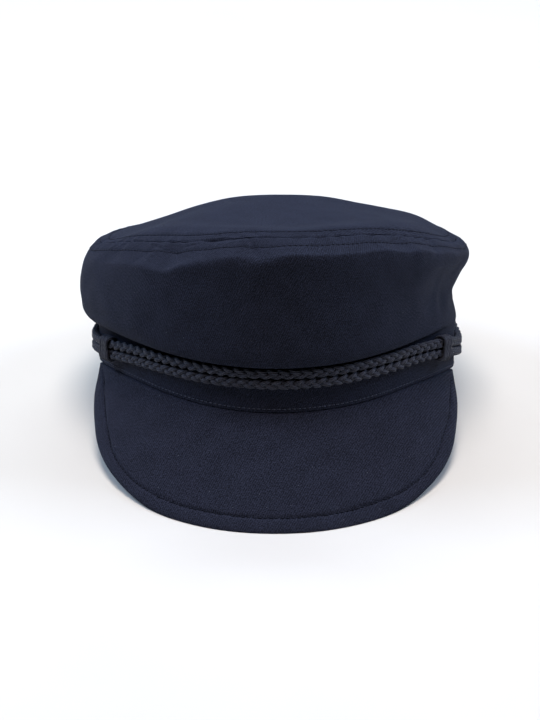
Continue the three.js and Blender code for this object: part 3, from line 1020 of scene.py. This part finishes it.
def chin_cord():
    path, outs = cord_route()
    path = smooth_line(path, 12)
    ahead = unit(np.gradient(path, axis=0))
    outs = unit(outs - ahead * np.sum(ahead * outs, axis=1, keepdims=True))
    across = np.cross(outs, ahead)
    run = np.concatenate([[0], np.cumsum(np.linalg.norm(np.diff(path, axis=0), axis=1))])
    strands = []
    for k in range(3):
        phase = 2 * np.pi * (PLAIT_PERIODS * run / run[-1] + k / 3)
        wobble = 0.05 * np.sin(run / 7.3 + k)
        line = path + across * (PLAIT_SWAY * np.sin(phase) + wobble)[:, None]
        line = line - outs * (PLAIT_RISE * np.sin(2 * phase))[:, None]
        strands.append(line)
    taper = np.clip(np.minimum(run, run[-1] - run) / 0.8 + 0.35, 0, 1)
    widths = np.stack([STRAND_HALF_WIDTH * taper] * 3)
    depths = np.stack([STRAND_HALF_DEPTH * taper] * 3)
    patches = tubes(np.stack(strands), np.stack([outs] * 3), widths, depths, TUBE_SIDES)
    return build_mesh("chin_cord_plait", patches, "chin_cord", weld=1e-7, crease=180)


def slide_knot(side_name, hand):
    """A cord wound round both runs, strand beside strand."""
    turn = np.array(hand * KNOT_PLACE * np.pi)
    centre = oval(turn, PLAIT_OUT + LOOP_OUT, cord_middle(turn))
    ahead = unit(oval(turn + 0.02, 0, 0) - oval(turn - 0.02, 0, 0))
    rise = cord_middle(turn + 0.05) - cord_middle(turn - 0.05)
    rise = rise / np.linalg.norm(oval(turn + 0.05, 0, 0) - oval(turn - 0.05, 0, 0))
    ahead = unit(ahead + np.array([0, 0, 1.0]) * rise)
    out = out_of_oval(turn)
    across = unit(np.cross(out, ahead))
    strand = 0.5 * KNOT_LENGTH / KNOT_STRANDS
    radius = CORD_RADIUS + 0.2 + strand * 0.98
    half_straight = CORD_PITCH / 2
    t = np.linspace(0, KNOT_STRANDS, KNOT_STRANDS * 72 + 1)
    angle = 2 * np.pi * t
    squareness = 2.2
    level = np.tanh(np.sin(angle) * squareness) / math.tanh(squareness)
    sideways = level * half_straight + radius * np.sin(angle)
    waist = 1 - KNOT_WAIST * np.exp(-((np.sin(angle) / 0.35) ** 2))
    outward = radius * np.cos(angle) * waist * (1 + 0.06 * np.sin(2.7 * t + hand))
    along = (t / KNOT_STRANDS - 0.5) * (KNOT_LENGTH - 2 * strand)
    lean = KNOT_LEAN * sideways
    path = (
        centre
        + ahead * (along + lean)[:, None]
        + out * outward[:, None]
        + across * sideways[:, None]
    )
    away = out * np.cos(angle)[:, None] + across * np.sin(angle)[:, None]
    size = strand * 0.96 * np.clip(np.minimum(t, KNOT_STRANDS - t) * 9 + 0.4, 0, 1)
    patches = tubes(path[None], away[None], size[None], size[None], TUBE_SIDES)
    name = "slide_knot_" + side_name
    return build_mesh(name, patches, "slide_loop_" + side_name, weld=1e-7, crease=180)


def side_button(side_name, hand):
    turn = np.array(hand * BUTTON_TURN)
    base = oval(turn, CLEARANCE, cord_middle(turn))
    out = out_of_oval(turn)
    ahead = unit(np.cross((0, 0, 1.0), out))
    up = np.cross(out, ahead)
    under = CORD_RADIUS + cord_out(BUTTON_TURN)
    profile = [(0, 0), (BUTTON_POST, 0), (BUTTON_POST, under - 0.4), (BUTTON_POST + 0.4, under)]
    profile += [(BUTTON_RADIUS - 0.5, under + 0.05)]
    lip = 0.55
    for angle in np.radians(np.linspace(-60, 80, 8)):
        edge = BUTTON_RADIUS - lip + lip * math.cos(angle)
        profile.append((edge, under + 0.6 + lip * math.sin(angle)))
    profile += [(radius, under + height) for radius, height in BUTTON_DISH]
    profile = np.array(profile)
    angles = np.linspace(0, 2 * np.pi, 73)
    ring = (
        base
        + out * profile[:, 1][:, None, None]
        + ahead * (profile[:, 0][:, None] * np.cos(angles))[..., None]
        + up * (profile[:, 0][:, None] * np.sin(angles))[..., None]
    )
    cloth = np.stack(np.broadcast_arrays(angles[None] * 6, profile[:, 1][:, None]), -1)
    name = "domed_button_" + side_name
    return build_mesh(name, [(ring, cloth)], "side_button_" + side_name, crease=50)


# ---------------------------------------------------------------- materials
def add_node(tree, kind, links=None, **settings):
    """A shader node with its inputs linked or set by name or number."""
    made = tree.nodes.new(kind)
    for key, value in settings.items():
        setattr(made, key, value)
    for key, value in (links or {}).items():
        socket = made.inputs[key]
        if isinstance(value, bpy.types.NodeSocket):
            tree.links.new(value, socket)
        else:
            socket.default_value = value
    return made


def combine(tree, operation, *values):
    """The output of a math node with the values, or links, in its inputs."""
    links = dict(enumerate(values))
    return add_node(tree, "ShaderNodeMath", links, operation=operation).outputs[0]


def noise(tree, place, scale, detail, roughness=0.5):
    links = {"Vector": place, "Scale": scale, "Detail": detail, "Roughness": roughness}
    return add_node(tree, "ShaderNodeTexNoise", links).outputs[0]


def new_material(name):
    material = bpy.data.materials.new(name)
    material.use_nodes = True
    tree = material.node_tree
    return material, tree, tree.nodes["Principled BSDF"]


def weave(tree):
    """The cloth coordinates in mm, and each of them by itself."""
    cloth = add_node(tree, "ShaderNodeUVMap", uv_map="weave").outputs[0]
    split = add_node(tree, "ShaderNodeSeparateXYZ", {0: cloth})
    return cloth, split.outputs[0], split.outputs[1]


def colour_ramp(tree, factor, stops):
    ramp = add_node(tree, "ShaderNodeValToRGB", {0: factor})
    for element, (place, colour) in zip(ramp.color_ramp.elements, stops):
        element.position = place
        element.color = (*colour, 1)
    return ramp.outputs[0]


def add_bump(tree, shader, height, strength, depth):
    links = {"Height": height, "Strength": strength, "Distance": depth * MM}
    bump = add_node(tree, "ShaderNodeBump", links)
    tree.links.new(bump.outputs[0], shader.inputs["Normal"])


def set_values(shader, values):
    for name, value in values.items():
        shader.inputs[name].default_value = value


TWILL_ANGLE = math.radians(63.0)
TWILL_PERIOD = 1.0
TWILL_DEPTH = 0.085
LINT_COLOUR = (0.075, 0.08, 0.10, 1)


def twill_material(name, dark, light, rib_valley_shade=0.24, rough=0.9):
    """Diagonal ribs of beaded threads with fuzz, grain and a little pale lint; the colour is darker
    in the ribs' valleys, which is painted shade.
    """
    material, tree, shader = new_material(name)
    cloth, u, v = weave(tree)
    c = math.cos(TWILL_ANGLE)
    s = math.sin(TWILL_ANGLE)
    k = 2 * math.pi / TWILL_PERIOD
    bend = combine(tree, "MULTIPLY", noise(tree, cloth, 0.35, 3.0), 2.2)
    across = combine(tree, "MULTIPLY", u, s * k)
    across = combine(tree, "MULTIPLY_ADD", v, -c * k, across)
    rib = combine(tree, "SINE", combine(tree, "ADD", across, bend))
    beads = combine(tree, "MULTIPLY", u, c * k * 1.15)
    beads = combine(tree, "MULTIPLY_ADD", v, s * k * 1.15, beads)
    bead = combine(tree, "SINE", combine(tree, "ADD", beads, bend))
    bead = combine(tree, "MULTIPLY", bead, 0.35)
    fuzz = noise(tree, cloth, 1.6, 4.0, 0.7)
    mottle = noise(tree, cloth, 0.09, 6.0, 0.65)
    grain = noise(tree, cloth, 1.15, 2.0, 0.6)
    lint = noise(tree, cloth, 0.9, 1.0, 0.4)
    height = combine(tree, "MULTIPLY_ADD", fuzz, 1.6, combine(tree, "ADD", rib, bead))
    add_bump(tree, shader, height, 0.8, TWILL_DEPTH)
    # painted shade: the tone follows the ribs' height and is darker in their valleys
    tone = combine(tree, "MULTIPLY_ADD", rib, rib_valley_shade, 0.5)
    for texture, weight in ((mottle, 0.60), (fuzz, 1.3), (grain, 2.0)):
        tone = combine(tree, "MULTIPLY_ADD", texture, weight, tone)
    tone = combine(tree, "SUBTRACT", tone, 1.95)
    colour = colour_ramp(tree, tone, ((0.15, dark), (0.85, light)))
    speck = add_node(tree, "ShaderNodeMapRange", {0: lint, 1: 0.775, 2: 0.80}).outputs[0]
    mix = add_node(tree, "ShaderNodeMix", data_type="RGBA")
    tree.links.new(speck, mix.inputs[0])
    tree.links.new(colour, mix.inputs[6])
    mix.inputs[7].default_value = LINT_COLOUR
    tree.links.new(mix.outputs[2], shader.inputs["Base Color"])
    set_values(shader, {
        "Roughness": rough,
        "Specular IOR Level": 0.10,
        "Sheen Weight": 0.033,
        "Sheen Roughness": 0.5,
        "Sheen Tint": (0.55, 0.65, 1.0, 1),
    })
    return material


def braid_material():
    """Plied strands: fine ridges that wind along each tube."""
    material, tree, shader = new_material("braid")
    cloth, along, girth = weave(tree)
    plies = combine(tree, "MULTIPLY", girth, 2 * math.pi * 7)
    plies = combine(tree, "MULTIPLY_ADD", along, 2.4, plies)
    ply = combine(tree, "SINE", plies)
    fibres = noise(tree, cloth, 3.0, 4.0)
    add_bump(tree, shader, combine(tree, "MULTIPLY_ADD", fibres, 1.4, ply), 0.9, 0.14)
    tone = combine(tree, "MULTIPLY_ADD", ply, 0.22, 0.25)
    tone = combine(tree, "MULTIPLY_ADD", fibres, 0.55, tone)
    stops = ((0.1, (0.0095, 0.0108, 0.0178)), (0.9, (0.038, 0.042, 0.066)))
    tree.links.new(colour_ramp(tree, tone, stops), shader.inputs["Base Color"])
    set_values(shader, {"Roughness": 0.62, "Specular IOR Level": 0.25, "Sheen Weight": 0.05})
    return material


def button_material():
    material, tree, shader = new_material("button")
    cloth, _, _ = weave(tree)
    grain = noise(tree, cloth, 1.2, 5.0)
    stops = ((0.35, (0.006, 0.007, 0.012)), (0.7, (0.014, 0.016, 0.024)))
    tree.links.new(colour_ramp(tree, grain, stops), shader.inputs["Base Color"])
    rough = add_node(tree, "ShaderNodeMapRange", {0: grain, 3: 0.32, 4: 0.5})
    tree.links.new(rough.outputs[0], shader.inputs["Roughness"])
    return material


def floor_material():
    material, tree, shader = new_material("floor")
    place = add_node(tree, "ShaderNodeTexCoord").outputs["Object"]
    grain = noise(tree, place, 9.0, 3.0)
    stops = ((0.3, (0.645, 0.617, 0.565)), (0.7, (0.665, 0.637, 0.583)))
    tree.links.new(colour_ramp(tree, grain, stops), shader.inputs["Base Color"])
    set_values(shader, {"Roughness": 0.95, "Specular IOR Level": 0.1})
    return material


# ---------------------------------------------------------------- assembly
crown_pieces = crown()
band_pieces = band()
peak_pieces = peak()
cord_pieces = [chin_cord(), slide_knot("left", -1), slide_knot("right", 1)]
button_pieces = [side_button("left", -1), side_button("right", 1)]

twill = twill_material(
    "twill", (0.0042, 0.0051, 0.0102), (0.0194, 0.0228, 0.0404), rib_valley_shade=0.20
)
# painted light: the peak's copy of the twill is made lighter than the crown's, to stand in for the
# light the peak catches
peak_twill_painted_light = twill_material(
    "peak_twill_painted_light", (0.0053, 0.0060, 0.0113), (0.0226, 0.0252, 0.0430), rib_valley_shade=0.18
)
# painted shade: the stitch thread is navy like the cloth, made darker than it to stand in for the
# shade in the stitch holes
thread_painted_shade = twill_material(
    "thread_painted_shade", (0.0035, 0.0042, 0.0085), (0.0125, 0.0145, 0.0265), rough=0.7
)
pale_thread = twill_material(
    "pale_thread", (0.030, 0.034, 0.052), (0.075, 0.084, 0.120), rough=0.7
)
braid = braid_material()
button = button_material()
cloth_of = {
    "band_stitches": pale_thread,
    "crown_side_stitches": thread_painted_shade,
    "crown_top_stitches": thread_painted_shade,
    "peak_stitches": thread_painted_shade,
    "peak_cloth": peak_twill_painted_light,
}
for piece in crown_pieces + band_pieces + peak_pieces:
    piece.data.materials.append(cloth_of.get(piece.name, twill))
for piece in cord_pieces:
    piece.data.materials.append(braid)
for piece in button_pieces:
    piece.data.materials.append(button)


# ---------------------------------------------------------------- floor and light
FLOOR_SIZE = 8.0
FLOOR_DROP = 0.0002
LIGHT_AIM = Vector((0, 0, 0.05))
SOFTBOXES = (  # name, place, width, height, watts, colour
    ("softbox_back", (0, 1.3, 1.75), 1.8, 0.35, 18.8, (0.85, 0.98, 1.13)),
    ("softbox_left", (-1.45, 0.3, 1.35), 1.0, 0.6, 21.5, (0.77, 1.0, 1.36)),
    ("softbox_right", (1.45, 0.3, 1.35), 1.0, 0.6, 18.3, (0.82, 1.0, 1.32)),
    ("softbox_above", (0, 0.05, 2.1), 0.9, 0.8, 27.3, (1.03, 1.0, 1.0)),
    ("softbox_front", (0, -0.55, 2.0), 1.0, 0.8, 9.8, (1.17, 0.94, 0.85)),
)
WORLD_COLOUR = (0.5, 0.52, 0.56, 1)
WORLD_STRENGTH = 0.02


def add_floor():
    half = FLOOR_SIZE / 2
    corners = [(-half, -half, 0), (half, -half, 0), (half, half, 0), (-half, half, 0)]
    mesh = bpy.data.meshes.new("floor")
    mesh.from_pydata(corners, [], [(0, 1, 2, 3)])
    floor = bpy.data.objects.new("floor", mesh)
    bpy.context.scene.collection.objects.link(floor)
    floor.location.z = -FLOOR_DROP
    mesh.materials.append(floor_material())


def add_softbox(name, place, width, height, power, colour):
    data = bpy.data.lights.new(name, "AREA")
    data.shape = "RECTANGLE"
    data.size = width
    data.size_y = height
    data.energy = power
    data.color = colour
    light = bpy.data.objects.new(name, data)
    bpy.context.scene.collection.objects.link(light)
    light.location = place
    away = Vector(place) - LIGHT_AIM
    light.rotation_euler = away.to_track_quat("Z", "Y").to_euler()


def add_world():
    world = bpy.data.worlds.new("world")
    world.use_nodes = True
    background = world.node_tree.nodes["Background"]
    background.inputs["Color"].default_value = WORLD_COLOUR
    background.inputs["Strength"].default_value = WORLD_STRENGTH
    bpy.context.scene.world = world


add_floor()
for softbox in SOFTBOXES:
    add_softbox(*softbox)
add_world()
bpy.context.scene.view_settings.view_transform = "Standard"
